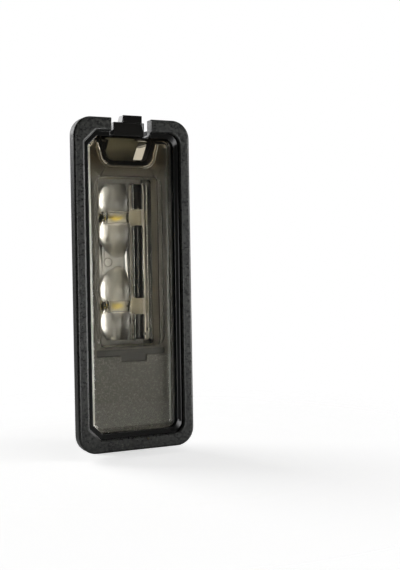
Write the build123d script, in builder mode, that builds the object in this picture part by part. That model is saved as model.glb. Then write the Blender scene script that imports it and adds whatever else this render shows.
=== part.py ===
from build123d import *
import os

# Number plate lamp for a car: a framed clear cover over two LED optics, on a housing with a plug socket.
# The lamp stands on end: +Z runs along its length, the cover faces -Y, the back of the seal lies at Y = 0.
# Depths are measured back from the front of the rim, heights from the middle of the rim.

# Rim and its opening
rim_length = 75.0
rim_width = 28.0
rim_corner = 4.2
rim_depth = 3.0
rim_edge = 0.6
rim_border_end = 3.0
rim_border_side = 2.55
opening_corner = 2.7
opening_bevel = 0.35
notch_width = 9.7
notch_side = -0.25

# Lip that holds the cover, and the skirt behind the rim
lip_step_end = 1.1
lip_step_side = 1.15
lip_corner = 2.2
lip_front = 1.2
lip_back = 2.6
skirt_inset_end = 2.5
skirt_inset_side = 1.9
skirt_drop = 0.7
skirt_back = 5.9
skirt_wall = 0.8
skirt_corner = 3.0

# Rubber seal round the skirt
seal_front = 3.15
seal_back = 5.8
seal_thickness = 0.8
seal_bevel = 0.3

# Clear cover
cover_face = 2.0
cover_flange = 1.2
pad_bevel = 0.6
panel_length = 38.9
panel_width = 16.4
panel_corner = 2.3
panel_rise = 0.4

# Bay for the release tongue
bay_depth = 5.2
bay_top_width = 12.8
bay_floor_width = 9.2
bay_corner = 1.6
bay_wall = 1.0
bay_side = -0.2
rib_width = 0.5

# Rear housing: plate, edge wall and electronics box
pan_depth = 0.5
plate_thickness = 0.9
wall_back = 7.1
wall_thickness = 1.0
hem_inset = 0.2
hem_front = 6.0
box_width = 16.3
box_length = 47.2
box_inset = 3.6
box_back = 19.4
box_wall = 0.9
box_edge = 0.4
ledge_width = 0.9
groove_width = 16.6
groove_margin = 0.55
groove_height = 1.5
groove_depth = 0.4
tab_width = 6.3
tab_side = 0.8
tab_drop = 1.4

# Tower over the box that shields the tongue, open at one corner under its roof
tower_rise = 0.6
tower_back = 16.2
tower_front = 7.4
tower_wall = 1.2
tower_round = 1.5
window_front = 10.8
window_side = 1.1

# Blind pocket in the back of the box
pocket_width = 6.9
pocket_height = 3.1
pocket_depth = 2.4
pocket_side = -0.6
pocket_lift = 0.4

# Neck and plug socket, whose mouth leans forward
neck_length = 3.4
neck_left = -6.3
neck_right = 7.4
neck_back = 18.8
socket_width = 15.8
socket_depth = 10.3
socket_length = 17.9
socket_corner = 2.5
socket_wall = 1.3
socket_cavity = 14.8
socket_side = -0.3
socket_back = 19.8
socket_tilt = 6.0
web_width = 8.0
web_length = 13.0
catch_width = 5.0
catch_height = 2.9
catch_slant = 1.2
catch_rise = 0.5
catch_border = 0.5
catch_drop = 9.6
catch_side = -0.3

# Fixed lug behind the rim's lower edge
lug_width = 19.0
lug_back = 5.2
lug_overhang = 0.2
lug_round = 0.7

# Release tongue
tongue_width = 7.4
tongue_side = -0.65
tongue_leaf = 1.2
tongue_root = 9.7
tongue_rise = 0.5
tongue_bend = 1.2
knee_depth = 4.7
knee_rise = 0.6
tongue_lap = 1.3
head_front = 0.8
head_depth = 2.2
head_length = 3.1
tip_width = 4.6
tip_side = -0.1
tip_length = 1.6
tip_step = 1.5
tip_overhang = 0.6
tip_depth = 3.4
tip_slope = 0.9

# Optics: two twin-dome lenses and a prism bar on one clear deck
led_drop = 1.0
led_side = -1.65
dome_radius = 4.45
dome_arch = 6.2
dome_rise = 3.5
dome_spread = 3.6
dome_end = 4.15
dome_margin = 1.4
deck_front = 8.0
deck_thickness = 0.9
deck_corner = 0.8
prism_side = 2.3
prism_width = 4.6
prism_rise = 3.5
prism_margin = 1.3
prism_groove = 2.4
rail_width = 1.3
bridge_length = 3.7
led_pocket = 3.6
led_pocket_depth = 1.0

# Circuit board and what is soldered to it, placed from the middle of the board
board_thickness = 1.1
board_corner = 0.6
led_width = 3.0
led_thickness = 0.5
phosphor_width = 2.6
phosphor_thickness = 0.25
resistor_size = (1.6, 0.5, 3.2)
resistor_pitch = 2.6
resistor_count = 4
resistor_inset = 6.05
capacitor_size = (2.0, 1.2, 1.25)
capacitor_pitch = 4.2
capacitor_count = 2
capacitor_height = 8.3
capacitor_side = -3.5
diode_size = (2.6, 1.6, 4.4)
diode_place = (3.6, 7.3)
suppressor_size = (4.4, 1.7, 2.6)
suppressor_side = -2.4
suppressor_inset = 8.15
regulator_size = (3.9, 1.5, 4.9)
regulator_place = (1.6, -0.7)

# Terminal pins
pin_width = 2.3
pin_thickness = 0.64
pin_pitch = 5.2
pin_lift = 1.65
pin_bend = 1.2
pin_reach = 9.0

# Fits
fit_gap = 0.1
solder_gap = 0.02

# Places that follow from the sizes above
opening_length = rim_length - 2 * rim_border_end
opening_width = rim_width - 2 * rim_border_side
lip_length = opening_length - 2 * lip_step_end
lip_width = opening_width - 2 * lip_step_side
skirt_length = rim_length - 2 * skirt_inset_end
skirt_width = rim_width - 2 * skirt_inset_side
inside_length = skirt_length - 2 * skirt_wall
inside_width = skirt_width - 2 * skirt_wall
inside_corner = skirt_corner - skirt_wall
plate_width = inside_width - 2 * fit_gap
plate_length = inside_length - 2 * fit_gap
plate_top = plate_length / 2 - skirt_drop
bay_floor = plate_top - bay_depth
tower_top = plate_top + tower_rise
tower_roof = tower_top - tower_wall
box_top = plate_top - box_inset
box_bottom = box_top - box_length
led_height = (box_top + box_bottom) / 2 - led_drop
tip_top = rim_length / 2 + tip_overhang
tip_bottom = tip_top - tip_length
head_top = tip_top - tip_step
head_bottom = head_top - head_length
seal_bottom = -skirt_length / 2 - fit_gap - seal_thickness - skirt_drop
lug_reach = rim_length / 2 + lug_overhang
pan_width = plate_width - 2 * wall_thickness
pan_length = plate_length - 2 * wall_thickness
rib_top = wall_thickness + fit_gap
cover_front = lip_back + fit_gap
cover_back = cover_front + cover_flange
plate_front = cover_back + fit_gap
pan_floor = plate_front + pan_depth
plate_back = pan_floor + plate_thickness
plate_middle = pan_floor + plate_thickness / 2
cavity_width = box_width - 2 * box_wall
cavity_length = panel_length - 2 * fit_gap
led_pitch = cavity_length - 2 * (dome_spread + dome_end + dome_margin)
prism_length = cavity_length - 2 * prism_margin
resistor_height = cavity_length / 2 - resistor_inset
suppressor_height = suppressor_inset - cavity_length / 2
ledge_front = deck_front + deck_thickness + board_thickness + 3 * fit_gap
board_back = ledge_front - fit_gap
board_front = board_back - board_thickness
deck_back = board_front - fit_gap
groove_top = led_height - panel_length / 2 - groove_margin
groove_bottom = groove_top - groove_height
socket_top = box_bottom - neck_length
pin_height = led_height - cavity_length / 2 + ledge_width + pin_lift
led_heights = [led_height + led_pitch / 2, led_height - led_pitch / 2]
pin_sides = [socket_side - pin_pitch / 2, socket_side + pin_pitch / 2]


def face_at(depth):
    """Sketch plane facing the viewer, a given depth behind the front of the rim."""
    return Plane.XZ.offset(seal_back - depth)


def side_at(x):
    """Sketch plane that cuts the lamp lengthways at a given place across its width."""
    return Plane.YZ.offset(x)


def lower_middle():
    """Middle of everything behind the rim, which sits a little lower than the rim."""
    return Locations((0, -skirt_drop))


def opening_outline(width, length, corner):
    """Opening shape: the corners on the light side are bevelled, the others rounded."""
    Rectangle(width, length)
    chamfer(vertices().group_by(Axis.X)[0], corner)
    fillet(vertices().group_by(Axis.X)[-1], corner)


def bay_outline(grow, mode=Mode.ADD):
    """Bay for the tongue, open at the top of the plate and wider there, grown outwards by a wall."""
    half_top = bay_top_width / 2 + grow
    half_floor = bay_floor_width / 2 + grow
    low = bay_floor - grow
    with BuildLine() as edge:
        wall_line = FilletPolyline(
            (bay_side - half_top, plate_top),
            (bay_side - half_floor, low),
            (bay_side + half_floor, low),
            (bay_side + half_top, plate_top),
            radius=bay_corner + grow,
        )
        Line(wall_line @ 1, wall_line @ 0)
    make_face(edge.edges(), mode=mode)


# Frame: rim, stepped opening, notch for the tongue, skirt, and a lug behind the lower edge
with BuildPart() as bezel_frame:
    with BuildSketch(face_at(0)):
        RectangleRounded(rim_width, rim_length, rim_corner)
    extrude(amount=-rim_depth)
    fillet(bezel_frame.faces().sort_by(Axis.Y)[0].edges(), rim_edge)
    with BuildSketch(face_at(rim_depth)):
        with lower_middle():
            RectangleRounded(skirt_width, skirt_length, skirt_corner)
    extrude(amount=rim_depth - skirt_back)
    with BuildSketch(face_at(lip_back)):
        with lower_middle():
            RectangleRounded(inside_width, inside_length, inside_corner)
    extrude(amount=lip_back - skirt_back, mode=Mode.SUBTRACT)
    with BuildSketch(face_at(lip_front)):
        opening_outline(lip_width, lip_length, lip_corner)
    extrude(amount=lip_front - lip_back, mode=Mode.SUBTRACT)
    with BuildSketch(face_at(0)):
        opening_outline(opening_width, opening_length, opening_corner)
    extrude(amount=-lip_front, mode=Mode.SUBTRACT)
    chamfer(bezel_frame.faces().sort_by(Axis.Y)[0].inner_wires()[0].edges(), opening_bevel)
    with BuildSketch(face_at(0)):
        with Locations((notch_side, lip_length / 2 - lip_corner)):
            Rectangle(notch_width, rim_length / 2, align=(Align.CENTER, Align.MIN))
    extrude(amount=-skirt_back, mode=Mode.SUBTRACT)
    with BuildSketch(side_at(-lug_width / 2)):
        with Locations((rim_depth - seal_back, -lug_reach)):
            Rectangle(lug_back - rim_depth, lug_reach + seal_bottom - fit_gap, align=Align.MIN)
        fillet(vertices().group_by(Axis.Y)[0], lug_round)
    extrude(amount=lug_width)

# Seal: rubber strip that hugs the skirt and stops at the notch
with BuildPart() as perimeter_seal:
    with BuildSketch(face_at(seal_front)):
        with lower_middle():
            RectangleRounded(
                skirt_width + 2 * fit_gap + 2 * seal_thickness,
                skirt_length + 2 * fit_gap + 2 * seal_thickness,
                skirt_corner + fit_gap + seal_thickness,
            )
            RectangleRounded(
                skirt_width + 2 * fit_gap,
                skirt_length + 2 * fit_gap,
                skirt_corner + fit_gap,
                mode=Mode.SUBTRACT,
            )
    extrude(amount=seal_front - seal_back)
    for end in (0, -1):
        seal_end = perimeter_seal.faces().filter_by(Axis.Y).sort_by(Axis.Y)[end]
        chamfer(seal_end.outer_wire().edges(), seal_bevel)
    with BuildSketch(face_at(seal_front)):
        with Locations((notch_side, 0)):
            Rectangle(notch_width, rim_length, align=(Align.CENTER, Align.MIN))
    extrude(amount=seal_front - seal_back, mode=Mode.SUBTRACT)

# Cover: clear plate with a bevelled pad in front, and behind it an inner panel and a rib round the bay
with BuildPart() as lens_cover:
    with BuildSketch(face_at(cover_front)):
        with lower_middle():
            RectangleRounded(plate_width, plate_length, inside_corner)
    extrude(amount=-cover_flange)
    with BuildSketch(face_at(cover_front)):
        opening_outline(lip_width - 2 * fit_gap, lip_length - 2 * fit_gap, lip_corner)
    extrude(amount=cover_front - cover_face)
    chamfer(lens_cover.faces().sort_by(Axis.Y)[0].edges(), pad_bevel)
    with BuildSketch(face_at(cover_back)):
        with Locations((0, led_height)):
            RectangleRounded(panel_width, panel_length, panel_corner)
    extrude(amount=-panel_rise)
    with BuildSketch(face_at(cover_back)):
        bay_outline(bay_wall + fit_gap + rib_width)
        bay_outline(bay_wall + fit_gap, mode=Mode.SUBTRACT)
        with Locations((0, plate_top)):
            Rectangle(plate_width, 2 * rib_top, mode=Mode.SUBTRACT)
    extrude(amount=-panel_rise)

# Socket axes: its own plane, and the plane of its outer back wall
socket_middle = socket_back - socket_depth / 2 - seal_back
socket_down = Vector(0, 0, -1).rotate(Axis.X, -socket_tilt)
socket_plane = Plane(origin=(socket_side, socket_middle, socket_top), x_dir=(1, 0, 0), z_dir=socket_down)
catch_origin = socket_plane.from_local_coords(Vector(catch_side, -socket_depth / 2, catch_drop))
catch_plane = Plane(origin=catch_origin, x_dir=(1, 0, 0), z_dir=socket_plane.y_dir * -1)


def catch_outline(border):
    """Slanted four-sided outline of the plug catch, shrunk by its border."""
    half_width = catch_width / 2 - border
    half_height = catch_height / 2 - border
    shift = catch_slant * half_height / catch_height
    Polygon(
        (-half_width - shift, -half_height),
        (half_width - shift, -half_height),
        (half_width + shift, half_height),
        (-half_width + shift, half_height),
        align=None,
    )


def pin_strip(side, gap):
    """Bent strip of a terminal pin, from the board back and then down the socket, grown by a gap."""
    tip = socket_plane.from_local_coords(Vector(0, 0, socket_length - socket_cavity + pin_reach))
    bend = tip + socket_down * ((pin_height - tip.Z) / socket_down.Z)
    with BuildSketch(side_at(side - pin_width / 2 - gap)) as strip:
        with BuildLine():
            FilletPolyline(
                (board_front - seal_back, pin_height),
                (bend.Y, pin_height),
                (tip.Y, tip.Z),
                radius=pin_bend,
            )
        trace(line_width=pin_thickness + 2 * gap)
    return strip.sketch


# Rear housing: plate, edge wall, box, tower, neck, socket and release tongue in one moulding
with BuildPart() as rear_housing:
    with BuildSketch(face_at(plate_front)):
        with lower_middle():
            RectangleRounded(plate_width, plate_length, inside_corner)
    extrude(amount=plate_front - wall_back)
    with BuildSketch(face_at(hem_front)):
        with lower_middle():
            RectangleRounded(skirt_width - 2 * hem_inset, skirt_length - 2 * hem_inset, inside_corner)
    extrude(amount=hem_front - wall_back)
    with BuildSketch(face_at(plate_back)):
        with lower_middle():
            RectangleRounded(pan_width, pan_length, inside_corner - wall_thickness)
    extrude(amount=plate_back - wall_back, mode=Mode.SUBTRACT)
    with BuildSketch(face_at(plate_front)):
        with lower_middle():
            RectangleRounded(pan_width, pan_length, inside_corner - wall_thickness)
        bay_outline(bay_wall, mode=Mode.SUBTRACT)
    extrude(amount=-pan_depth, mode=Mode.SUBTRACT)

    # box and tower
    with BuildSketch(face_at(pan_floor)):
        with Locations((0, box_bottom)):
            Rectangle(box_width, box_length, align=(Align.CENTER, Align.MIN))
    extrude(amount=pan_floor - box_back)
    fillet(rear_housing.faces().sort_by(Axis.Y)[-1].edges(), box_edge)
    with BuildSketch(side_at(-box_width / 2)):
        with Locations((tower_front - seal_back, bay_floor - bay_wall)):
            Rectangle(tower_back - tower_front, tower_top - bay_floor + bay_wall, align=Align.MIN)
        fillet(vertices().group_by(Axis.X)[-1].sort_by(Axis.Y)[-1], tower_round)
    extrude(amount=box_width)
    with BuildSketch(face_at(plate_back)):
        with Locations((0, bay_floor - bay_wall)):
            Rectangle(box_width, plate_top - bay_floor + bay_wall, align=(Align.CENTER, Align.MIN))
    extrude(amount=plate_back - tower_front)

    # the bay and the space behind it inside the tower, with the window at its corner
    with BuildSketch(face_at(plate_front)):
        bay_outline(0)
    extrude(amount=plate_front - tower_front, mode=Mode.SUBTRACT)
    with BuildSketch(face_at(tower_front)):
        with Locations((0, bay_floor)):
            Rectangle(cavity_width, tower_roof - bay_floor, align=(Align.CENTER, Align.MIN))
    extrude(amount=tower_front - tower_back + tower_wall, mode=Mode.SUBTRACT)
    with BuildSketch(side_at(window_side)):
        with Locations((window_front - seal_back, box_top)):
            Rectangle(tower_back - window_front, tower_roof - box_top, align=Align.MIN)
    extrude(amount=box_width, mode=Mode.SUBTRACT)

    # neck and socket
    with BuildSketch(Plane.XY.offset(box_bottom)):
        with Locations((neck_left, plate_middle - seal_back)):
            Rectangle(neck_right - neck_left, neck_back - plate_middle, align=Align.MIN)
    extrude(amount=-neck_length - socket_wall)
    with BuildSketch(socket_plane):
        RectangleRounded(socket_width, socket_depth, socket_corner)
    extrude(amount=socket_length)
    with BuildSketch(side_at(socket_side - web_width / 2)):
        with Locations((plate_middle - seal_back, socket_top)):
            Rectangle(socket_back - socket_depth / 2 - plate_back, web_length, align=(Align.MIN, Align.MAX))
    extrude(amount=web_width)
    with BuildSketch(socket_plane.offset(socket_length - socket_cavity)):
        RectangleRounded(
            socket_width - 2 * socket_wall, socket_depth - 2 * socket_wall, socket_corner - socket_wall
        )
    extrude(amount=socket_cavity, mode=Mode.SUBTRACT)
    with BuildSketch(catch_plane):
        catch_outline(0)
    extrude(amount=catch_rise)
    with BuildSketch(catch_plane.offset(catch_rise)):
        catch_outline(catch_border)
    extrude(amount=-2 * catch_rise, mode=Mode.SUBTRACT)

    # space for the optics and the board, groove below it, and slots for the pins
    with BuildSketch(face_at(pan_floor)):
        with Locations((0, led_height)):
            RectangleRounded(cavity_width, cavity_length, deck_corner)
    extrude(amount=pan_floor - ledge_front, mode=Mode.SUBTRACT)
    with BuildSketch(face_at(ledge_front)):
        with Locations((0, led_height)):
            Rectangle(cavity_width - 2 * ledge_width, cavity_length - 2 * ledge_width)
    extrude(amount=ledge_front - box_back + box_wall, mode=Mode.SUBTRACT)
    with BuildSketch(face_at(pan_floor)):
        with Locations((0, groove_top)):
            Rectangle(groove_width, groove_height, align=(Align.CENTER, Align.MAX))
        with Locations((tab_side, groove_bottom)):
            Rectangle(tab_width, tab_drop, align=(Align.CENTER, Align.MAX))
    extrude(amount=-groove_depth, mode=Mode.SUBTRACT)
    with BuildSketch(face_at(box_back)):
        with Locations((pocket_side, box_bottom + pocket_lift)):
            Rectangle(pocket_width, pocket_height, align=(Align.CENTER, Align.MIN))
    extrude(amount=pocket_depth, mode=Mode.SUBTRACT)
    for pin_side in pin_sides:
        extrude(pin_strip(pin_side, fit_gap), amount=pin_width + 2 * fit_gap, mode=Mode.SUBTRACT)

    # release tongue
    with BuildSketch(side_at(tongue_side - tongue_width / 2)):
        with BuildLine():
            FilletPolyline(
                (tongue_root - seal_back, bay_floor - bay_wall / 2),
                (tongue_root - seal_back, bay_floor + tongue_rise),
                (knee_depth - seal_back, plate_top + knee_rise),
                (head_front + head_depth / 2 - seal_back, head_bottom + tongue_lap),
                radius=tongue_bend,
            )
        trace(line_width=tongue_leaf)
        with Locations((head_front - seal_back, head_bottom)):
            Rectangle(head_depth, head_length, align=Align.MIN)
    extrude(amount=tongue_width)
    with BuildSketch(side_at(tip_side - tip_width / 2)):
        with Locations((-seal_back, tip_bottom)):
            Rectangle(tip_depth, tip_length, align=Align.MIN)
        chamfer(vertices().group_by(Axis.X)[-1].sort_by(Axis.Y)[-1], tip_slope)
    extrude(amount=tip_width)

# Optics: four barrel-shaped domes in two pairs and a railed prism bar on a deck with LED pockets
with BuildPart() as optic_insert:
    dome_heights = [height + step for height in led_heights for step in (dome_spread, -dome_spread)]
    dome_middle = deck_front - dome_rise + dome_radius - seal_back
    with BuildSketch(side_at(led_side)):
        with Locations([(dome_middle + dome_arch - dome_radius, height) for height in dome_heights]):
            Circle(dome_arch)
        with Locations((dome_middle, led_height)):
            Rectangle(2 * dome_arch, rim_length, align=(Align.MIN, Align.CENTER), mode=Mode.SUBTRACT)
    revolve(axis=Axis((led_side, dome_middle, 0), (0, 0, 1)))
    split(bisect_by=face_at(deck_front), keep=Keep.TOP)
    with BuildSketch(face_at(deck_front)):
        with Locations((led_side, led_height)):
            Rectangle(2 * dome_radius, led_pitch + 2 * (dome_spread + dome_end))
    extrude(amount=dome_radius, mode=Mode.INTERSECT)
    with BuildSketch(face_at(deck_front)):
        with Locations((prism_side, led_height)):
            Rectangle(prism_width, prism_length)
    extrude(amount=prism_rise)
    with BuildSketch(face_at(deck_front - prism_rise)):
        with Locations((prism_side, led_height)):
            Rectangle(prism_width - 2 * rail_width, prism_length)
        with Locations([(prism_side, height) for height in led_heights]):
            Rectangle(prism_width, bridge_length, mode=Mode.SUBTRACT)
    extrude(amount=-prism_groove, mode=Mode.SUBTRACT)
    with BuildSketch(face_at(deck_front)):
        with Locations((0, led_height)):
            RectangleRounded(cavity_width - 2 * fit_gap, cavity_length - 2 * fit_gap, deck_corner)
    extrude(amount=-deck_thickness)
    with BuildSketch(face_at(deck_back)):
        with Locations([(led_side, height) for height in led_heights]):
            Rectangle(led_pocket, led_pocket)
    extrude(amount=led_pocket_depth, mode=Mode.SUBTRACT)

# Circuit board with slots for the pins
with BuildPart() as led_board:
    with BuildSketch(face_at(board_front)):
        with Locations((0, led_height)):
            RectangleRounded(cavity_width - 2 * fit_gap, cavity_length - 2 * fit_gap, board_corner)
        with Locations([(side, pin_height) for side in pin_sides]):
            Rectangle(pin_width + 2 * fit_gap, pin_thickness + 2 * fit_gap, mode=Mode.SUBTRACT)
    extrude(amount=-board_thickness)


def chips(size, places, on_back=True):
    """Component bodies soldered to the back of the board, or to its front."""
    lift = solder_gap + size[1] / 2
    depth = board_back + lift if on_back else board_front - lift
    with Locations([(side, depth - seal_back, led_height + height) for side, height in places]):
        Box(*size)


def write(piece, label):
    """Label a finished piece and write it to its own file."""
    piece.part.label = label
    export_step(piece.part, f"parts/{label}.step")


# Driver components on the back of the board
resistor_sides = [resistor_pitch * (index - (resistor_count - 1) / 2) for index in range(resistor_count)]
with BuildPart() as series_resistors:
    chips(resistor_size, [(side, resistor_height) for side in resistor_sides])

capacitor_sides = [capacitor_side + capacitor_pitch * index for index in range(capacitor_count)]
with BuildPart() as filter_capacitors:
    chips(capacitor_size, [(side, capacitor_height) for side in capacitor_sides])

with BuildPart() as blocking_diode:
    chips(diode_size, [diode_place])

with BuildPart() as surge_suppressor:
    chips(suppressor_size, [(suppressor_side, suppressor_height)])

with BuildPart() as current_regulator:
    chips(regulator_size, [regulator_place])

os.makedirs("parts", exist_ok=True)

# LEDs: package and phosphor of each
for led_name, height in zip(["upper", "lower"], led_heights):
    with BuildPart() as led_package:
        chips((led_width, led_thickness, led_width), [(led_side, height - led_height)], on_back=False)
    with BuildPart() as led_phosphor:
        with BuildSketch(face_at(board_front - led_thickness - 2 * solder_gap)):
            with Locations((led_side, height)):
                Circle(phosphor_width / 2)
        extrude(amount=phosphor_thickness)
    write(led_package, f"{led_name}_led")
    write(led_phosphor, f"{led_name}_phosphor")

# Terminal pins
for pin_name, pin_side in zip(["ground_pin", "supply_pin"], pin_sides):
    with BuildPart() as terminal_pin:
        extrude(pin_strip(pin_side, 0), amount=pin_width)
    write(terminal_pin, pin_name)

write(bezel_frame, "bezel_frame")
write(perimeter_seal, "perimeter_seal")
write(lens_cover, "lens_cover")
write(rear_housing, "rear_housing")
write(optic_insert, "optic_insert")
write(led_board, "led_board")
write(series_resistors, "series_resistors")
write(filter_capacitors, "filter_capacitors")
write(blocking_diode, "blocking_diode")
write(surge_suppressor, "surge_suppressor")
write(current_regulator, "current_regulator")
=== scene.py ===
"""Number plate lamp: mouldings, swept seal, materials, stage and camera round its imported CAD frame."""

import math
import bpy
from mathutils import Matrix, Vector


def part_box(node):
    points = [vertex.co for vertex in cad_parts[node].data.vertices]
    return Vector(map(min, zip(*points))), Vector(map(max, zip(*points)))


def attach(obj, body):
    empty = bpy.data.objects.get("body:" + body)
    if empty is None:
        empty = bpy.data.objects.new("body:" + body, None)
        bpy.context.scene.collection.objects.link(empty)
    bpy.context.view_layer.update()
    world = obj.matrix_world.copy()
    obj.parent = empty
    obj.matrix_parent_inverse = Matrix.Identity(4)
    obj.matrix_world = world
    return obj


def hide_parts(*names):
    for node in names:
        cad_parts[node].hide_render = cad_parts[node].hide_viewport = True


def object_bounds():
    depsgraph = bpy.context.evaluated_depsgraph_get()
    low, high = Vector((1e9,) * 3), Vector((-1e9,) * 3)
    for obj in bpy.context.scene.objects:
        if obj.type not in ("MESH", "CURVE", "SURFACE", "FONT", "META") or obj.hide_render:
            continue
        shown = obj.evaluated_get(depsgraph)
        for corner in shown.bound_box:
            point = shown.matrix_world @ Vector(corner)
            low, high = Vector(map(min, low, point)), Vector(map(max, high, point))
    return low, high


bl_info = {
    "name": "Number Plate Lamp",
    "version": (1, 0, 0),
    "blender": (4, 5, 0),
    "location": "View3D > Sidebar > Plate Lamp",
    "description": "Dresses the CAD model of a car's number plate lamp and sets it on a pale stage",
    "category": "Object",
}

import bmesh
import bpy
from bpy.props import FloatProperty, FloatVectorProperty, PointerProperty
from mathutils import Matrix, Vector
from mathutils.bvhtree import BVHTree

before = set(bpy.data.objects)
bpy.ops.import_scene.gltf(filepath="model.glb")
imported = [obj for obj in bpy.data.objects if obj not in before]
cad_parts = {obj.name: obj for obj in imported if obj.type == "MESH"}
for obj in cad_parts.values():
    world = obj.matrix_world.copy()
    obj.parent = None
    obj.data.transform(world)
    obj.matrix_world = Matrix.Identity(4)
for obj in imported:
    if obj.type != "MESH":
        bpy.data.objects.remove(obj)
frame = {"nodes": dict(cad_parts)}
cad_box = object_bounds()

MM = 0.001
BODY = "root"
LEDS = ("upper_led", "lower_led")
PHOSPHORS = ("upper_phosphor", "lower_phosphor")

# Node kinds that the materials use most
BUMP, MAP, MATH, MIX = "ShaderNodeBump", "ShaderNodeMapRange", "ShaderNodeMath", "ShaderNodeMix"
NOISE, SPLIT, VECTOR = "ShaderNodeTexNoise", "ShaderNodeSeparateXYZ", "ShaderNodeVectorMath"

# Sockets of Map Range and Mix by number, because their names repeat. Math has its two terms at 0 and 1.
VALUE, FROM_LOW, FROM_HIGH, TO_LOW, TO_HIGH = 0, 1, 2, 3, 4
SHARE, LEVEL_A, LEVEL_B, TONE_A, TONE_B = 0, 2, 3, 6, 7
RGBA = {"data_type": "RGBA", "out": 2}

# Rounding of a CAD copy: merge distance in millimetres, angles in degrees, overshoot in edge widths
MERGE = 0.0001
FLAT = 0.3
ROUNDED_FROM = 35.0
DOMES_ROUNDED_FROM = 60.0
SEAL_SHARP_FROM = 40.0
OVERSHOOT = 0.4

# Steps in the seal's corners along its path and in its rounded edges
CORNER_STEPS = 10
EDGE_STEPS = 4

# Places that the materials follow, in millimetres of the shared frame, where None leaves a side open
MASK_EDGE = 0.05

# The frame's step round the cover, the cover's sides, tinted grey as painted shade,
# and the height where the cover's warm tint, painted shade round the tongue's bay, sets in
LIP_BOX = ((-11.55, -5.25, -34.55), (11.55, None, 34.55))
COVER_SIDE = 9.6
BAY_SHADE_START = 24.0
BAY_SHADE_END = 28.0

# Floors of the housing behind the cover, the groove between them, the well and the tongue's bay
FLOOR_FRONT = -1.55
FLOOR_BACK = -0.8
FLOOR_SPLIT = -16.3
FLOOR_BOX = ((None, FLOOR_FRONT, None), (None, FLOOR_BACK, None))
SHELF_BOX = ((None, FLOOR_FRONT, FLOOR_SPLIT), (None, FLOOR_BACK, None))
PAN_BOX = ((None, FLOOR_FRONT, None), (None, FLOOR_BACK, FLOOR_SPLIT))
GROOVE_BOX = ((None, -1.1, None), (None, FLOOR_BACK, None))
WELL_BOX = ((-7.7, -0.85, -14.45), (7.7, 4.4, 24.75))
BAY_BOX = ((-6.3, -1.0, 28.3), (6.3, 9.7, 33.5))

# Domes, deck, prism bar and ejector mark of the optics
DOMES_RIGHT = 0.3
DECK_FRONT = 1.9
DECK_DEPTH = 0.6
FROST_REACH = 3.6
PRISM_RIGHT = 4.5
SLOT_BOX = ((1.25, -1.0, None), (3.35, 1.2, None))
EJECTOR_X = -3.96
EJECTOR_Z = 5.2
EJECTOR_RADIUS = 0.97
EJECTOR_EDGE = 0.2
EJECTOR_DEPTH = 0.05

# Fields of the board: printed under the prism bar's rails and bridges and round each LED, while under the
# domes a patch on the left is painted light, the outer domes are painted shade and each LED a painted glow
DOMES_LIT = -4.6
DOME_REACH = 6.2
PAIR_GAP = 3.0
BOARD_RIGHT = 7.0
PRISM_ENDS = (-12.7, 23.0)
LEFT_RAIL = (1.2, 2.0)
RIGHT_RAIL = (3.0, 6.2)
BRIDGE = (1.35, 4.3)
LED_BRIDGE = 1.8
LED_GLOW = 1.2
LED_PAD = 2.2

# Widths and depths of the marks in the finishes, in millimetres
SCUFF_WIDTH = 2.4
SPECK_WIDTH = 0.6
PAN_GRAIN = 0.38
PAN_DEPTH = 0.04
FLOW_WIDTH = 9.0
HANDLING_WIDTH = 3.0
WEAVE_WIDTH = 0.8
WEAVE_DEPTH = 0.02

# Roughness of the finishes, from the smoothest to the dullest spot where it varies
ERODED_ROUGH = (0.26, 0.38)
LIP_ROUGH = 0.16
MOULDED_ROUGH = (0.12, 0.22)
WALL_ROUGH = 0.55
COVER_ROUGH = 0.05
SIDE_ROUGH = 0.35
OPTIC_ROUGH = 0.03
WINDOW_ROUGH = 0.1
DOME_ROUGH = 0.30
DECK_ROUGH = 0.45
LAMINATE_ROUGH = (0.34, 0.5)
PAPER_ROUGH = 0.9
ROUGH_SPREAD = 0.06

# Refractive indices of the plastics
PC_ABS_IOR = 1.5
PBT_IOR = 1.55
POLYCARBONATE_IOR = 1.585
EPOXY_IOR = 1.5
SILICONE_IOR = 1.41

# Pale floor in metres, and the soft lights with their place, width and height in metres and their power
STAGE_RADIUS = 0.12
STAGE_FADE = 0.03
STAGE_SEGMENTS = 96
LIGHTS = {
    "key_softbox": ((0.42, -0.27, -0.12), (0.40, 0.50), "key_power"),
    "key_core": ((0.39, -0.31, 0.02), (0.10, 0.28), "core_power"),
    "front_softbox": ((-0.06, -0.55, -0.08), (0.25, 0.25), "front_power"),
    "top_softbox": ((0.10, -0.30, 0.50), (0.30, 0.30), "fill_power"),
    "back_softbox": ((-0.30, 0.45, 0.30), (0.40, 0.40), "back_power"),
}

# Direction of the white backdrop behind the lamp, and how far round it fades into the dim room
BACKDROP_WAY = (0.437, 0.899, 0.0)
BACKDROP_START = 0.7
BACKDROP_FULL = 0.92

# Camera, with its place, its sensor and its nearest distance in millimetres
CAMERA_PLACE = (-80.66, -205.09, 4.73)
CAMERA_RIGHT = (0.89930571, -0.43702033, -0.01620076)
CAMERA_UP = (0.02478126, 0.01393921, 0.99959571)
SENSOR = 36.0
NEAREST = 10.0


def linear(text):
    """Linear colour with full alpha from an sRGB hex value."""
    parts = [int(text[i:i + 2], 16) / 255 for i in (1, 3, 5)]
    return tuple(p / 12.92 if p <= 0.04045 else ((p + 0.055) / 1.055) ** 2.4 for p in parts) + (1.0,)


def per(size):
    """Texture scale whose features are about this many metres across."""
    return 1.0 / size


def add(tree, kind, inputs=None, out=0, **settings):
    """Adds a node with its settings, sets or links its inputs by name or number, and gives one output."""
    made = tree.nodes.new(kind)
    for name, value in settings.items():
        setattr(made, name, value)
    for key, value in (inputs or {}).items():
        if isinstance(value, bpy.types.NodeSocket):
            tree.links.new(value, made.inputs[key])
        else:
            made.inputs[key].default_value = value
    return made.outputs[out] if made.outputs else made


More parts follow.
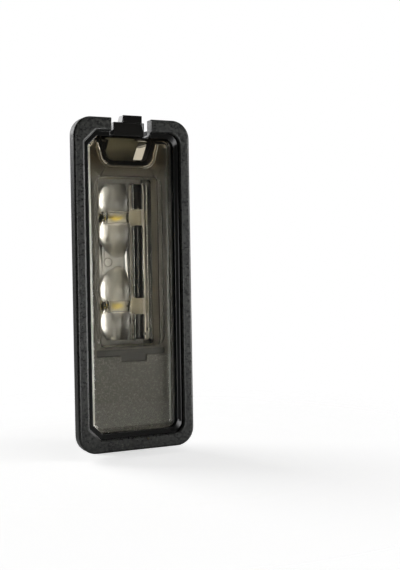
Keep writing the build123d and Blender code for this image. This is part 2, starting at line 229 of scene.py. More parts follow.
def size(name, text, default):
    """A length that a user may change."""
    return FloatProperty(name=name, description=text, default=default, min=0.0, precision=5,
                         subtype="DISTANCE", unit="LENGTH")


def colour(name, text, default):
    """A colour that a user may change, given as an sRGB hex value."""
    return FloatVectorProperty(name=name, description=text, default=linear(default), size=4,
                               min=0.0, max=1.0, subtype="COLOR")


def level(name, text, default):
    """A share of full white that a user may change."""
    return FloatProperty(name=name, description=text, default=default, min=0.0, subtype="FACTOR")


def power(name, text, default):
    """A lamp's power that a user may change."""
    return FloatProperty(name=name, description=text, default=default, min=0.0,
                         subtype="POWER", unit="POWER")


class LampSizes(bpy.types.PropertyGroup):
    """Edge radii, seal section and surface grain of the lamp's pieces"""

    frame_edge: size("Frame edge", "Rounding of the frame's sharp edges", 0.16 * MM)
    housing_edge: size("Housing edge", "Rounding of the housing's sharp edges", 0.14 * MM)
    cover_edge: size("Cover edge", "Rounding of the clear cover's edges", 0.12 * MM)
    optic_edge: size("Optic edge", "Rounding of the optics' edges", 0.22 * MM)
    small_edge: size("Small edge", "Rounding of the board, LEDs, pins and components", 0.06 * MM)
    seal_wall: size("Seal wall", "Thickness of the rubber seal", 0.8 * MM)
    seal_corner: size("Seal corner", "Radius of the seal's corners along its middle line", 3.5 * MM)
    seal_edge: size("Seal edge", "Rounding of the seal's section", 0.25 * MM)
    notch_left: size("Notch left", "Distance from the middle to the seal's left end", 5.1 * MM)
    notch_right: size("Notch right", "Distance from the middle to the seal's right end", 4.6 * MM)
    grain: size("Grain", "Width of the eroded grain on the frame", 0.5 * MM)
    grain_depth: size("Grain depth", "Depth of the eroded grain", 0.03 * MM)


class LampColours(bpy.types.PropertyGroup):
    """Colours of the lamp's materials"""

    frame: colour("Frame", "Black frame plastic", "#0C0D0C")
    lip: colour("Lip", "Polished step of the frame round the cover", "#0B0B0A")
    housing: colour("Housing", "Black housing plastic", "#0A0A09")
    # pan, shelf, well and bay are painted light: paler greys for the black housing behind the cover
    pan: colour("Pan", "Grained lower floor behind the cover", "#43423C")
    shelf: colour("Shelf", "Smoother floor round the optics", "#47433A")
    well: colour("Well", "Walls round the optics", "#ADA99D")
    bay: colour("Bay", "Back wall of the tongue's bay", "#838782")
    cover: colour("Cover", "Tint of the clear cover", "#FAF8F2")
    # painted shade: a warm tint that darkens what is seen through the cover round the tongue's bay
    shaded_bay_tint: colour("Smoke", "Tint of the cover round the tongue's bay", "#C8BEA9")
    optic: colour("Optic", "Tint of the clear optics", "#FBFAF7")
    mask: colour("Solder mask", "Black solder mask on the board", "#12120F")
    ink: colour("Board print", "White printed fields on the board", "#F1ECE2")
    # the grey under the domes is painted shade, not print
    shade: colour("Board shade", "Grey printed field under the domes", "#77736A")
    package: colour("LED body", "White LED body", "#E2DDCB")
    phosphor: colour("Phosphor", "LED phosphor", "#FFE036")
    rubber: colour("Rubber", "Seal rubber", "#141414")
    metal: colour("Tin", "Tinned pins", "#CFCBC0")
    epoxy: colour("Epoxy", "Component bodies", "#1B1B1D")
    ceramic: colour("Ceramic", "Capacitor bodies", "#A5855C")
    floor: colour("Floor", "Pale floor", "#FAFAF9")


class LampStage(bpy.types.PropertyGroup):
    """Light and camera of the stage"""

    ambient: level("Ambient", "Level of the studio's light on matt surfaces", 0.10)
    room: level("Room", "Level of the dim room in front of the lamp", 0.045)
    floor_lift: level("Floor lift", "White that the camera sees on the floor apart from its light", 0.62)
    # a painted glow: the phosphor emits a little light though the LED is off
    phosphor_painted_glow: level("Phosphor glow", "Light that the phosphor gives back in daylight", 0.12)
    key_power: power("Key", "Power of the tall soft light on the right", 2.7)
    core_power: power("Key core", "Power of the brighter middle of the light on the right", 0.7)
    front_power: power("Front", "Power of the soft light in front", 1.2)
    fill_power: power("Fill", "Power of the soft light above", 0.3)
    back_power: power("Back", "Power of the soft light behind", 2.0)
    lens: FloatProperty(name="Lens", description="Focal length on a 36 mm high sensor",
                        default=60.0, min=1.0, unit="CAMERA")


def new_material(name):
    """A material with a Principled shader, its tree and its Object coordinates."""
    material = bpy.data.materials.new(name)
    material.use_nodes = True
    tree = material.node_tree
    shader = tree.nodes["Principled BSDF"]
    place = add(tree, "ShaderNodeTexCoord", out="Object")
    return material, tree, shader, place


def inside(tree, place, low, high):
    """Mask that is one inside a box, given by its corners in millimetres."""
    axes = add(tree, SPLIT, {0: place}).node.outputs
    mask = None
    for axis, limits in zip(axes, zip(low, high)):
        for limit, way in zip(limits, (1.0, -1.0)):
            if limit is not None:
                start, end = limit - way * MASK_EDGE, limit + way * MASK_EDGE
                side = add(tree, MAP, {VALUE: axis, FROM_LOW: start * MM, FROM_HIGH: end * MM})
                if mask is None:
                    mask = side
                else:
                    mask = add(tree, MATH, {0: mask, 1: side}, operation="MULTIPLY")
    return mask


def painted(tree, place, base, fields):
    """Colour of a surface with fields of other colours, each a tone and the two corners of its box."""
    for tone, low, high in fields:
        field = inside(tree, place, low, high)
        base = add(tree, MIX, {SHARE: field, TONE_A: base, TONE_B: tone}, **RGBA)
    return base


def eroded_pc_abs():
    """Black PC-ABS moulded in a spark-eroded tool: a dull, finely pitted skin with a few pale scuffs,
    and a polished step round the cover."""
    colours, sizes = bpy.context.scene.lamp_colours, bpy.context.scene.lamp_sizes
    material, tree, shader, place = new_material("eroded_black_pc_abs")
    rubbed, crest, dust = linear("#161715"), linear("#2B2C28"), linear("#63625B")
    lip = inside(tree, place, *LIP_BOX)
    # real grain is about 0.05 mm wide and is drawn coarser so that it shows
    grain = add(tree, NOISE, {"Vector": place, "Scale": per(sizes.grain), "Detail": 3.0, "Roughness": 0.6})
    patches = add(tree, NOISE, {"Vector": place, "Scale": per(SCUFF_WIDTH * MM), "Detail": 4.0})
    specks = add(tree, NOISE, {"Vector": place, "Scale": per(SPECK_WIDTH * MM), "Detail": 2.0})
    wear = add(tree, MAP, {VALUE: patches, FROM_LOW: 0.38, FROM_HIGH: 0.66})
    worn = add(tree, MIX, {SHARE: wear, TONE_A: colours.frame, TONE_B: rubbed}, **RGBA)
    peaks = add(tree, MAP, {VALUE: grain, FROM_LOW: 0.46, FROM_HIGH: 0.62, TO_HIGH: 0.8})
    pitted = add(tree, MIX, {SHARE: peaks, TONE_A: worn, TONE_B: crest}, **RGBA)
    settled = add(tree, MAP, {VALUE: specks, FROM_LOW: 0.66, FROM_HIGH: 0.76, TO_HIGH: 0.4})
    dusty = add(tree, MIX, {SHARE: settled, TONE_A: pitted, TONE_B: dust}, **RGBA)
    tone = add(tree, MIX, {SHARE: lip, TONE_A: dusty, TONE_B: colours.lip}, **RGBA)
    dull = add(tree, MAP, {VALUE: grain, FROM_LOW: 0.35, FROM_HIGH: 0.65,
                           TO_LOW: ERODED_ROUGH[0], TO_HIGH: ERODED_ROUGH[1]})
    rough = add(tree, MIX, {SHARE: lip, LEVEL_A: dull, LEVEL_B: LIP_ROUGH})
    strength = add(tree, MAP, {VALUE: lip, TO_LOW: 1.0, TO_HIGH: 0.15})
    pits = add(tree, BUMP, {"Height": grain, "Distance": sizes.grain_depth, "Strength": strength})
    tree.links.new(tone, shader.inputs["Base Color"])
    tree.links.new(rough, shader.inputs["Roughness"])
    tree.links.new(pits, shader.inputs["Normal"])
    shader.inputs["IOR"].default_value = PC_ABS_IOR
    return material


def glossy_pbt():
    """Black PBT moulded in a polished tool: deep gloss with faint flow marks outside, and behind the cover
    a grained pan, a smoother shelf and dull inner walls, painted light: written in paler greys than the
    black plastic, as little light reaches them."""
    colours = bpy.context.scene.lamp_colours
    material, tree, shader, place = new_material("glossy_black_pbt")
    flow_mark, crest, groove = linear("#11100E"), linear("#8C8A81"), linear("#201F1B")
    grain = add(tree, NOISE, {"Vector": place, "Scale": per(PAN_GRAIN * MM), "Detail": 4.0,
                              "Roughness": 0.65})
    flow = add(tree, NOISE, {"Vector": place, "Scale": per(FLOW_WIDTH * MM), "Detail": 3.0})
    polished = add(tree, MIX, {SHARE: flow, TONE_A: colours.housing, TONE_B: flow_mark}, **RGBA)
    strong = add(tree, MAP, {VALUE: grain, FROM_LOW: 0.5, FROM_HIGH: 0.72, TO_HIGH: 0.6})
    faint = add(tree, MAP, {VALUE: grain, FROM_LOW: 0.5, FROM_HIGH: 0.72, TO_HIGH: 0.15})
    pan = add(tree, MIX, {SHARE: strong, TONE_A: colours.pan, TONE_B: crest}, **RGBA)
    shelf = add(tree, MIX, {SHARE: faint, TONE_A: colours.shelf, TONE_B: crest}, **RGBA)
    # of the bay's walls only the back one, the one that faces the cover, is painted paler, as painted light
    normal = add(tree, "ShaderNodeTexCoord", out="Normal")
    facing = add(tree, SPLIT, {0: normal}, "Y")
    front = add(tree, MAP, {VALUE: facing, FROM_LOW: -0.4, FROM_HIGH: -0.6})
    bay = add(tree, MIX, {SHARE: front, TONE_A: polished, TONE_B: colours.bay}, **RGBA)
    # the pan, shelf, well and bay fields are painted light, paler greys for the black plastic behind the
    # cover; the groove between the floors is written darker, as painted shade
    fields = [(shelf, *SHELF_BOX), (pan, *PAN_BOX), (groove, *GROOVE_BOX), (colours.well, *WELL_BOX),
              (bay, *BAY_BOX)]
    tone = painted(tree, place, polished, fields)
    dull = inside(tree, place, *FLOOR_BOX)
    for box in (WELL_BOX, BAY_BOX):
        dull = add(tree, MATH, {0: dull, 1: inside(tree, place, *box)}, operation="MAXIMUM")
    gloss = add(tree, MAP, {VALUE: flow, FROM_LOW: 0.3, FROM_HIGH: 0.7,
                            TO_LOW: MOULDED_ROUGH[0], TO_HIGH: MOULDED_ROUGH[1]})
    rough = add(tree, MIX, {SHARE: dull, LEVEL_A: gloss, LEVEL_B: WALL_ROUGH})
    strength = add(tree, MAP, {VALUE: dull, TO_LOW: 0.08, TO_HIGH: 1.0})
    pits = add(tree, BUMP, {"Height": grain, "Distance": PAN_DEPTH * MM, "Strength": strength})
    tree.links.new(tone, shader.inputs["Base Color"])
    tree.links.new(rough, shader.inputs["Roughness"])
    tree.links.new(pits, shader.inputs["Normal"])
    shader.inputs["IOR"].default_value = PBT_IOR
    return material


def clear_plastic(name, marked):
    """Clear moulded polycarbonate, which faint handling marks dull up to a given roughness."""
    material, tree, shader, place = new_material(name)
    marks = add(tree, NOISE, {"Vector": place, "Scale": per(HANDLING_WIDTH * MM), "Detail": 5.0})
    dull = add(tree, MAP, {VALUE: marks, FROM_LOW: 0.4, FROM_HIGH: 0.75, TO_HIGH: marked})
    shader.inputs["IOR"].default_value = POLYCARBONATE_IOR
    shader.inputs["Transmission Weight"].default_value = 1.0
    return material, tree, shader, place, dull


def clear_polycarbonate():
    """Injection-moulded polycarbonate of the cover: clear, with satin sides tinted grey as painted shade,
    and a warm tint round the tongue's bay, painted shade on what is seen through it."""
    colours = bpy.context.scene.lamp_colours
    material, tree, shader, place, dull = clear_plastic("clear_polycarbonate", COVER_ROUGH)
    # above the bay's height the cover is tinted warm, painted shade on what is seen through it
    height = add(tree, SPLIT, {0: place}, "Z")
    bay = add(tree, MAP, {VALUE: height, FROM_LOW: BAY_SHADE_START * MM, FROM_HIGH: BAY_SHADE_END * MM})
    warm = add(tree, MIX, {SHARE: bay, TONE_A: colours.cover, TONE_B: colours.shaded_bay_tint}, **RGBA)
    # the cover's sides are tinted grey, painted shade that dims the light seen through them
    middle = inside(tree, place, (-COVER_SIDE, None, None), (COVER_SIDE, None, None))
    tint = add(tree, MIX, {SHARE: middle, TONE_A: linear("#A8A89C"), TONE_B: warm}, **RGBA)
    rough = add(tree, MIX, {SHARE: middle, LEVEL_A: SIDE_ROUGH, LEVEL_B: dull})
    tree.links.new(tint, shader.inputs["Base Color"])
    tree.links.new(rough, shader.inputs["Roughness"])
    return material


def optical_polycarbonate():
    """Polycarbonate of the optics, moulded clear: softly glossy domes with clearer windows in front of the
    LEDs, a satin deck that is frosted between the pairs and has a round ejector mark, and a slot between
    the rails painted black as shade."""
    material, tree, shader, place, dull = clear_plastic("optical_polycarbonate", OPTIC_ROUGH)
    deck = inside(tree, place, (None, DECK_FRONT, None), (PRISM_RIGHT, DECK_FRONT + DECK_DEPTH, None))
    low, high = EJECTOR_Z - FROST_REACH, EJECTOR_Z + FROST_REACH
    between = inside(tree, place, (None, None, low), (None, None, high))
    frost = add(tree, MATH, {0: deck, 1: between}, operation="MULTIPLY")
    passing = add(tree, MAP, {VALUE: frost, TO_LOW: 1.0, TO_HIGH: 0.6})
    domes = inside(tree, place, (None, None, None), (DOMES_RIGHT, DECK_FRONT, None))
    soft = add(tree, MIX, {SHARE: domes, LEVEL_A: dull, LEVEL_B: DOME_ROUGH})
    for node in PHOSPHORS:
        low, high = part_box(node)
        window = inside(tree, place, (None, None, low[2] / MM), (None, None, high[2] / MM))
        soft = add(tree, MIX, {SHARE: window, LEVEL_A: soft, LEVEL_B: WINDOW_ROUGH})
    rough = add(tree, MIX, {SHARE: deck, LEVEL_A: soft, LEVEL_B: DECK_ROUGH})
    # the slot between the rails is painted black, painted shade in the channel
    tint = painted(tree, place, bpy.context.scene.lamp_colours.optic, [(linear("#080807"), *SLOT_BOX)])
    # the ejector mark is a shallow round step with a shaded rim
    flat = add(tree, VECTOR, {0: place, 1: (1.0, 0.0, 1.0)}, operation="MULTIPLY")
    centre = (EJECTOR_X * MM, 0.0, EJECTOR_Z * MM)
    away = add(tree, VECTOR, {0: flat, 1: centre}, "Value", operation="DISTANCE")
    inner, outer = EJECTOR_RADIUS - EJECTOR_EDGE, EJECTOR_RADIUS + EJECTOR_EDGE
    step = add(tree, MAP, {VALUE: away, FROM_LOW: EJECTOR_RADIUS * MM, FROM_HIGH: outer * MM})
    mark = add(tree, BUMP, {"Height": step, "Distance": EJECTOR_DEPTH * MM, "Strength": deck})
    rim = add(tree, MAP, {VALUE: away, FROM_LOW: inner * MM, FROM_HIGH: EJECTOR_RADIUS * MM})
    ring = add(tree, MATH, {0: rim, 1: step}, operation="SUBTRACT")
    shade = add(tree, MATH, {0: ring, 1: frost}, operation="MULTIPLY")
    ringed = add(tree, MIX, {SHARE: shade, TONE_A: tint, TONE_B: linear("#8E897F")}, **RGBA)
    tree.links.new(rough, shader.inputs["Roughness"])
    tree.links.new(passing, shader.inputs["Transmission Weight"])
    tree.links.new(mark, shader.inputs["Normal"])
    tree.links.new(ringed, shader.inputs["Base Color"])
    return material


def solder_masked_laminate():
    """Glass-epoxy board: black solder mask with a faint weave, and pale printed fields under the optics,
    which throw light back; under the domes a paler patch is painted light and darker fields painted shade,
    and a yellow glow is painted round each LED."""
    colours = bpy.context.scene.lamp_colours
    material, tree, shader, place = new_material("solder_masked_laminate")
    weave = add(tree, NOISE, {"Vector": place, "Scale": per(WEAVE_WIDTH * MM), "Detail": 3.0})
    mask, white, grey = (
        add(tree, MIX, {SHARE: weave, TONE_A: base, TONE_B: linear(other)}, **RGBA)
        for base, other in ((colours.mask, "#1D1C18"), (colours.ink, "#D9D3C6"), (colours.shade, "#837F75")))
    dark, light, painted_led_glow = linear("#4E4B44"), linear("#B0ABA0"), linear("#E6CF6E")
    beige, brown = linear("#BBB29A"), linear("#A09B8E")
    upper, lower = (sum(corner[2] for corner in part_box(node)) / 2 / MM for node in LEDS)
    middle = (upper + lower) / 2
    # under the domes the board is painted light and shade: the outer domes darker (dark) than the inner ones
    # (grey), and a paler patch on their left (light) where the domes gather the side light
    fields = [(dark, (None, None, None), (DOMES_RIGHT, None, None)),
              (grey, (None, None, lower), (DOMES_RIGHT, None, upper)),
              (light, (None, None, lower - DOME_REACH), (DOMES_LIT, None, upper + DOME_REACH)),
              (white, (None, None, middle - PAIR_GAP), (DOMES_RIGHT, None, middle + PAIR_GAP)),
              (brown, (BOARD_RIGHT, None, None), (None, None, None))]
    for low, high in ((PRISM_ENDS[1], None), (None, PRISM_ENDS[0])):
        fields.append((dark, (DOMES_RIGHT, None, low), (None, None, high)))
    for left, right in (LEFT_RAIL, RIGHT_RAIL):
        fields.append((white, (left, None, PRISM_ENDS[0]), (right, None, PRISM_ENDS[1])))
    for led in (upper, lower):
        fields.append((white, (None, None, led - LED_PAD), (DOMES_RIGHT, None, led + LED_PAD)))
        # a yellow field round each LED is a painted glow of the LED's light
        fields.append((painted_led_glow, (None, None, led - LED_GLOW), (DOMES_RIGHT, None, led + LED_GLOW)))
        fields.append((beige, (BRIDGE[0], None, led - LED_BRIDGE), (BRIDGE[1], None, led + LED_BRIDGE)))
    gloss = add(tree, MAP, {VALUE: weave, FROM_LOW: 0.3, FROM_HIGH: 0.7,
                            TO_LOW: LAMINATE_ROUGH[0], TO_HIGH: LAMINATE_ROUGH[1]})
    pits = add(tree, BUMP, {"Height": weave, "Distance": WEAVE_DEPTH * MM, "Strength": 0.4})
    tree.links.new(painted(tree, place, mask, fields), shader.inputs["Base Color"])
    tree.links.new(gloss, shader.inputs["Roughness"])
    tree.links.new(pits, shader.inputs["Normal"])
    shader.inputs["IOR"].default_value = EPOXY_IOR
    return material


def speckled(name, base, other, grain, rough, metallic=0.0, ior=1.5):
    """A small part's finish: two close tones, a fine grain and a little change of gloss."""
    material, tree, shader, place = new_material(name)
    cloud = add(tree, NOISE, {"Vector": place, "Scale": per(grain), "Detail": 3.0})
    tone = add(tree, MIX, {SHARE: cloud, TONE_A: base, TONE_B: linear(other)}, **RGBA)
    gloss = add(tree, MAP, {VALUE: cloud, FROM_LOW: 0.3, FROM_HIGH: 0.7,
                            TO_LOW: rough - ROUGH_SPREAD, TO_HIGH: rough + ROUGH_SPREAD})
    pits = add(tree, BUMP, {"Height": cloud, "Distance": 0.1 * grain, "Strength": 0.5})
    tree.links.new(tone, shader.inputs["Base Color"])
    tree.links.new(gloss, shader.inputs["Roughness"])
    tree.links.new(pits, shader.inputs["Normal"])
    shader.inputs["Metallic"].default_value = metallic
    shader.inputs["IOR"].default_value = ior
    return material


def link(piece):
    """Puts a new object into the scene."""
    bpy.context.scene.collection.objects.link(piece)
    return piece


def plain_mesh(piece, material):
    """Mesh of an object with its modifiers applied, in one material."""
    depsgraph = bpy.context.evaluated_depsgraph_get()
    mesh = bpy.data.meshes.new_from_object(piece.evaluated_get(depsgraph))
    mesh.materials.clear()
    mesh.materials.append(material)
    return mesh


def stand_in(piece, node):
    """Lets a piece take a CAD node's place and body, hiding the node."""
    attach(piece, BODY)
    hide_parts(node)


def moulded(node, name, edge, material, angle=ROUNDED_FROM, segments=2):
    """Copy of a CAD node with its sharp edges rounded, standing in the node's place."""
    cad = frame["nodes"][node].data
    shape = bmesh.new()
    shape.from_mesh(cad)
    bmesh.ops.remove_doubles(shape, verts=shape.verts, dist=MERGE * MM)
    bmesh.ops.dissolve_limit(shape, angle_limit=math.radians(FLAT), verts=shape.verts, edges=shape.edges)
    bmesh.ops.connect_verts_concave(shape, faces=shape.faces)
    for face in shape.faces:
        face.smooth = True
    mesh = bpy.data.meshes.new(name)
    shape.to_mesh(mesh)
    shape.free()
    if "custom_normal" in mesh.attributes:
        mesh.attributes.remove(mesh.attributes["custom_normal"])
    piece = link(bpy.data.objects.new(name, mesh))
    rounding = piece.modifiers.new("rounded edges", "BEVEL")
    rounding.width = edge
    rounding.segments = segments
    rounding.limit_method = "ANGLE"
    rounding.angle_limit = math.radians(angle)
    rounding.use_clamp_overlap = False
    rounding.miter_outer = "MITER_ARC"
    even = piece.modifiers.new("even faces", "WEIGHTED_NORMAL")
    even.keep_sharp = True
    mesh = plain_mesh(piece, material)
    piece.modifiers.clear()
    piece.data = mesh
    # a rounding that overshoots a short edge is drawn back onto the moulding's surface
    surface = BVHTree.FromPolygons([v.co for v in cad.vertices], [p.vertices for p in cad.polygons])
    for vert in mesh.vertices:
        spot, _, _, away = surface.find_nearest(vert.co)
        if away > OVERSHOOT * edge:
            vert.co = spot
    stand_in(piece, node)
    return piece


def swept_strip(name, material):
    """Geometry Nodes tree that rounds a path's corners and sweeps a strip with soft edges along it."""
    tree = bpy.data.node_groups.new(name, "GeometryNodeTree")
    tree.interface.new_socket("Path", in_out="INPUT", socket_type="NodeSocketGeometry")
    for label in ("Corner", "Wall", "Depth", "Edge"):
        tree.interface.new_socket(label, in_out="INPUT", socket_type="NodeSocketFloat")
    tree.interface.new_socket("Strip", in_out="OUTPUT", socket_type="NodeSocketGeometry")
    given = add(tree, "NodeGroupInput").node.outputs
    turned = add(tree, "GeometryNodeFilletCurve",
                 {"Curve": given["Path"], "Count": CORNER_STEPS, "Radius": given["Corner"]}, mode="POLY")
    upright = add(tree, "GeometryNodeSetCurveNormal",
                  {"Curve": turned, "Normal": (0.0, 1.0, 0.0)}, mode="FREE")
    section = add(tree, "GeometryNodeCurvePrimitiveQuadrilateral",
                  {"Width": given["Depth"], "Height": given["Wall"]})
    soft = add(tree, "GeometryNodeFilletCurve",
               {"Curve": section, "Count": EDGE_STEPS, "Radius": given["Edge"]}, mode="POLY")
    swept = add(tree, "GeometryNodeCurveToMesh",
                {"Curve": upright, "Profile Curve": soft, "Fill Caps": True})
    whole = add(tree, "GeometryNodeRealizeInstances", {"Geometry": swept})
    dressed = add(tree, "GeometryNodeSetMaterial", {"Geometry": whole, "Material": material})
    add(tree, "NodeGroupOutput", {"Strip": dressed})
    return tree


class LAMP_OT_frame(bpy.types.Operator):
    """Round and dress the black frame round the cover"""

    bl_idname = "lamp.frame"
    bl_label = "Frame"

    def execute(self, context):
        moulded("bezel_frame", "frame_moulding", context.scene.lamp_sizes.frame_edge, eroded_pc_abs())
        return {"FINISHED"}


class LAMP_OT_seal(bpy.types.Operator):
    """Sweep the rubber seal along its path behind the rim, from one side of the notch to the other"""

    bl_idname = "lamp.seal"
    bl_label = "Seal"

    def execute(self, context):
        sizes, colours = context.scene.lamp_sizes, context.scene.lamp_colours
        # extruded EPDM is matt and a little cloudy
        rubber = speckled("matt_epdm_rubber", colours.rubber, "#1E1E1D", grain=0.5 * MM, rough=0.62)
        low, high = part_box("perimeter_seal")
        inset = sizes.seal_wall / 2
        left, right = low[0] + inset, high[0] - inset
        bottom, top = low[2] + inset, high[2] - inset
        route = [(sizes.notch_right, top), (right, top), (right, bottom), (left, bottom), (left, top),
                 (-sizes.notch_left, top)]
        path = bpy.data.curves.new("seal_path", "CURVE")
        path.dimensions = "3D"
        spline = path.splines.new("POLY")
        spline.points.add(len(route) - 1)
        for point, (x, z) in zip(spline.points, route):
            point.co = (x, (low[1] + high[1]) / 2, z, 1.0)
        guide = link(bpy.data.objects.new("seal_path", path))
        sweep = guide.modifiers.new("swept strip", "NODES")
        sweep.node_group = swept_strip("swept_rubber_strip", rubber)
        values = {"Corner": sizes.seal_corner, "Wall": sizes.seal_wall, "Depth": high[1] - low[1],
                  "Edge": sizes.seal_edge}
        for item in sweep.node_group.interface.items_tree:
            if item.name in values:
                sweep[item.identifier] = values[item.name]
        mesh = plain_mesh(guide, rubber)
        bpy.data.objects.remove(guide)
        mesh.shade_smooth()
        mesh.set_sharp_from_angle(angle=math.radians(SEAL_SHARP_FROM))
        stand_in(link(bpy.data.objects.new("rubber_seal", mesh)), "perimeter_seal")
        return {"FINISHED"}


class LAMP_OT_cover(bpy.types.Operator):
    """Round and dress the clear cover"""

    bl_idname = "lamp.cover"
    bl_label = "Cover"

    def execute(self, context):
        moulded("lens_cover", "clear_cover", context.scene.lamp_sizes.cover_edge, clear_polycarbonate())
        return {"FINISHED"}


class LAMP_OT_housing(bpy.types.Operator):
    """Round and dress the rear housing with its tongue and socket"""

    bl_idname = "lamp.housing"
    bl_label = "Housing"

    def execute(self, context):
        moulded("rear_housing", "housing_moulding", context.scene.lamp_sizes.housing_edge, glossy_pbt())
        return {"FINISHED"}


class LAMP_OT_optics(bpy.types.Operator):
    """Round and dress the domes and the prism bar"""

    bl_idname = "lamp.optics"
    bl_label = "Optics"

    def execute(self, context):
        moulded("optic_insert", "dome_optics", context.scene.lamp_sizes.optic_edge, optical_polycarbonate(),
                angle=DOMES_ROUNDED_FROM, segments=3)
        return {"FINISHED"}


class LAMP_OT_leds(bpy.types.Operator):
    """Round and dress the LED bodies and their phosphor"""

    bl_idname = "lamp.leds"
    bl_label = "LEDs"

    def execute(self, context):
        colours, edge = context.scene.lamp_colours, context.scene.lamp_sizes.small_edge
        # moulded PPA is a satin white, and silicone full of phosphor is a soft yellow
        body = speckled("moulded_white_ppa", colours.package, "#CFC9B4", grain=0.3 * MM, rough=0.45)
        glow = speckled("phosphor_in_silicone", colours.phosphor, "#F0C928", grain=0.15 * MM, rough=0.4,
                        ior=SILICONE_IOR)
        # the phosphor is given a faint emission, a painted glow, though the LED is off
        shader = glow.node_tree.nodes["Principled BSDF"]
        shader.inputs["Emission Color"].default_value = colours.phosphor
        shader.inputs["Emission Strength"].default_value = context.scene.lamp_stage.phosphor_painted_glow
        for led, phosphor in zip(LEDS, PHOSPHORS):
            moulded(led, led + "_body", edge, body)
            moulded(phosphor, led + "_phosphor", edge, glow)
        return {"FINISHED"}


class LAMP_OT_board(bpy.types.Operator):
    """Round and dress the circuit board and its components"""

    bl_idname = "lamp.board"
    bl_label = "Board"

    def execute(self, context):
        colours, edge = context.scene.lamp_colours, context.scene.lamp_sizes.small_edge
        # moulded epoxy is a dull black, and fired ceramic a dull tan
        epoxy = speckled("moulded_black_epoxy", colours.epoxy, "#29292B", grain=0.2 * MM, rough=0.5)
        ceramic = speckled("fired_ceramic", colours.ceramic, "#8F7049", grain=0.25 * MM, rough=0.5)
        moulded("led_board", "circuit_board", edge, solder_masked_laminate())
        moulded("filter_capacitors", "filter_capacitor_bodies", edge, ceramic)
        for node in ("series_resistors", "blocking_diode", "surge_suppressor", "current_regulator"):
            moulded(node, node + "_body", edge, epoxy)
        return {"FINISHED"}


class LAMP_OT_pins(bpy.types.Operator):
    """Round and dress the terminal pins"""

    bl_idname = "lamp.pins"
    bl_label = "Pins"

    def execute(self, context):
        # dipped tin is a pale metal with a cloudy shine
        tone = context.scene.lamp_colours.metal
        tin = speckled("tinned_brass", tone, "#B9B3A4", grain=0.4 * MM, rough=0.3, metallic=1.0)
        for node in ("ground_pin", "supply_pin"):
            moulded(node, node + "_blade", context.scene.lamp_sizes.small_edge, tin)
        return {"FINISHED"}


class LAMP_OT_stage(bpy.types.Operator):
    """Set the pale floor, the white room, the soft lights and the camera"""

    bl_idname = "lamp.stage"
    bl_label = "Stage"

    def execute(self, context):
        set_floor(context.scene)
        set_room(context.scene)
        for name, (place, widths, watts) in LIGHTS.items():
            soft_light(name, place, widths, getattr(context.scene.lamp_stage, watts))
        set_camera(context.scene)
        context.scene.view_settings.view_transform = "Standard"
        # keeps the soft lights' reflections crisp behind the cover
        context.scene.cycles.blur_glossy = 0.0
        return {"FINISHED"}


def set_floor(scene):
    """A pale matt floor under the lamp that fades into the white room."""
    shape = bmesh.new()
    bmesh.ops.create_circle(shape, cap_ends=True, segments=STAGE_SEGMENTS, radius=STAGE_RADIUS)
    for vert in shape.verts:
        vert.co.z = cad_box[0][2]
    mesh = bpy.data.meshes.new("pale_floor")
    shape.to_mesh(mesh)
    shape.free()
    floor = link(bpy.data.objects.new("pale_floor", mesh))
    material, tree, shader, place = new_material("matt_white_paper")
    shader.inputs["Base Color"].default_value = scene.lamp_colours.floor
    shader.inputs["Roughness"].default_value = PAPER_ROUGH
    shader.inputs["Specular IOR Level"].default_value = 0.1
    seen = add(tree, "ShaderNodeLightPath", out="Is Camera Ray")
    lift = add(tree, MATH, {0: seen, 1: scene.lamp_stage.floor_lift}, operation="MULTIPLY")
    white = add(tree, "ShaderNodeEmission", {"Strength": lift})
    lifted = add(tree, "ShaderNodeAddShader", {0: shader.outputs[0], 1: white})
    far = add(tree, VECTOR, {0: place}, "Value", operation="LENGTH")
    fade = add(tree, MAP, {VALUE: far, FROM_LOW: STAGE_FADE, FROM_HIGH: STAGE_RADIUS})
    clear = add(tree, "ShaderNodeBsdfTransparent")
    mix = add(tree, "ShaderNodeMixShader", {0: fade, 1: lifted, 2: clear})
    tree.links.new(mix, tree.nodes["Material Output"].inputs["Surface"])
    mesh.materials.append(material)


def set_room(scene):
    """A studio that is white to the camera. Glossy and clear surfaces see a white backdrop behind the lamp
    and a dim room in front of it, and matt ones get the ambient level."""
    world = bpy.data.worlds.new("white_room")
    world.use_nodes = True
    scene.world = world
    tree = world.node_tree
    path = add(tree, "ShaderNodeLightPath").node.outputs
    way = add(tree, "ShaderNodeTexCoord", out="Generated")
    behind = add(tree, VECTOR, {0: way, 1: BACKDROP_WAY}, "Value", operation="DOT_PRODUCT")
    room = add(tree, MAP, {VALUE: behind, FROM_LOW: BACKDROP_START, FROM_HIGH: BACKDROP_FULL,
                           TO_LOW: scene.lamp_stage.room})
    seen = add(tree, MATH, {0: path["Is Glossy Ray"], 1: path["Is Transmission Ray"]}, operation="MAXIMUM")
    soft = add(tree, MAP, {VALUE: seen, TO_LOW: scene.lamp_stage.ambient})
    lit = add(tree, MATH, {0: room, 1: soft}, operation="MULTIPLY")
    shown = add(tree, MATH, {0: lit, 1: path["Is Camera Ray"]}, operation="MAXIMUM")
    back = tree.nodes["Background"]
    back.inputs["Color"].default_value = (1.0, 1.0, 1.0, 1.0)
    tree.links.new(shown, back.inputs["Strength"])


def soft_light(name, place, widths, watts):
    """A soft light of a given width and height that points at the lamp."""
    light = bpy.data.lights.new(name, "AREA")
    light.shape = "RECTANGLE"
    light.size, light.size_y = widths
    light.energy = watts
    lamp = link(bpy.data.objects.new(name, light))
    lamp.location = place
    lamp.rotation_euler = (-Vector(place)).to_track_quat("-Z", "Y").to_euler()


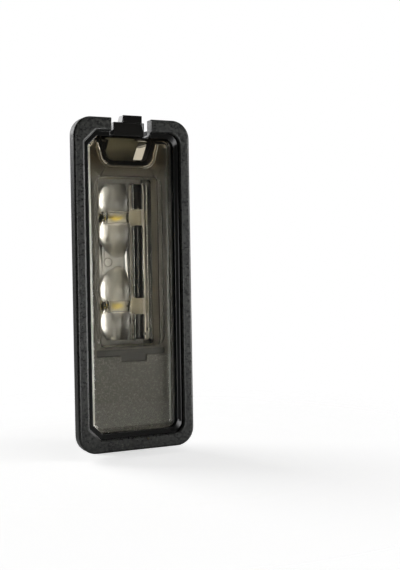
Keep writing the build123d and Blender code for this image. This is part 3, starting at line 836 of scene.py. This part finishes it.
def set_camera(scene):
    """The camera at the place and angle that were solved from the rim's corners."""
    camera = bpy.data.cameras.new("front_camera")
    camera.sensor_fit = "VERTICAL"
    camera.sensor_height = SENSOR
    camera.lens = scene.lamp_stage.lens
    camera.clip_start = NEAREST * MM
    view = link(bpy.data.objects.new("front_camera", camera))
    right, up = Vector(CAMERA_RIGHT), Vector(CAMERA_UP)
    turn = Matrix((right, up, right.cross(up))).transposed()
    view.matrix_world = Matrix.Translation(Vector(CAMERA_PLACE) * MM) @ turn.to_4x4()
    scene.camera = view


class LAMP_PT_panel(bpy.types.Panel):
    """Sizes, colours, light and building steps of the lamp"""

    bl_idname = "LAMP_PT_panel"
    bl_label = "Plate Lamp"
    bl_space_type = "VIEW_3D"
    bl_region_type = "UI"
    bl_category = "Plate Lamp"

    def draw(self, context):
        scene = context.scene
        for group in (scene.lamp_sizes, scene.lamp_colours, scene.lamp_stage):
            for name in group.__annotations__:
                self.layout.prop(group, name)
        for operator in OPERATORS:
            self.layout.operator(operator.bl_idname)


GROUPS = {"lamp_sizes": LampSizes, "lamp_colours": LampColours, "lamp_stage": LampStage}
OPERATORS = (LAMP_OT_frame, LAMP_OT_seal, LAMP_OT_cover, LAMP_OT_housing, LAMP_OT_optics, LAMP_OT_leds,
             LAMP_OT_board, LAMP_OT_pins, LAMP_OT_stage)


def register():
    """Adds the groups, the operators and the panel to Blender."""
    for name, group in GROUPS.items():
        bpy.utils.register_class(group)
        setattr(bpy.types.Scene, name, PointerProperty(type=group))
    for item in OPERATORS + (LAMP_PT_panel,):
        bpy.utils.register_class(item)


def unregister():
    """Takes the panel, the operators and the groups out of Blender again."""
    for item in (LAMP_PT_panel,) + OPERATORS[::-1]:
        bpy.utils.unregister_class(item)
    for name, group in GROUPS.items():
        delattr(bpy.types.Scene, name)
        bpy.utils.unregister_class(group)


def main():
    register()
    bpy.ops.lamp.frame()
    bpy.ops.lamp.seal()
    bpy.ops.lamp.cover()
    bpy.ops.lamp.housing()
    bpy.ops.lamp.optics()
    bpy.ops.lamp.leds()
    bpy.ops.lamp.board()
    bpy.ops.lamp.pins()
    bpy.ops.lamp.stage()


if __name__ == "__main__":
    main()
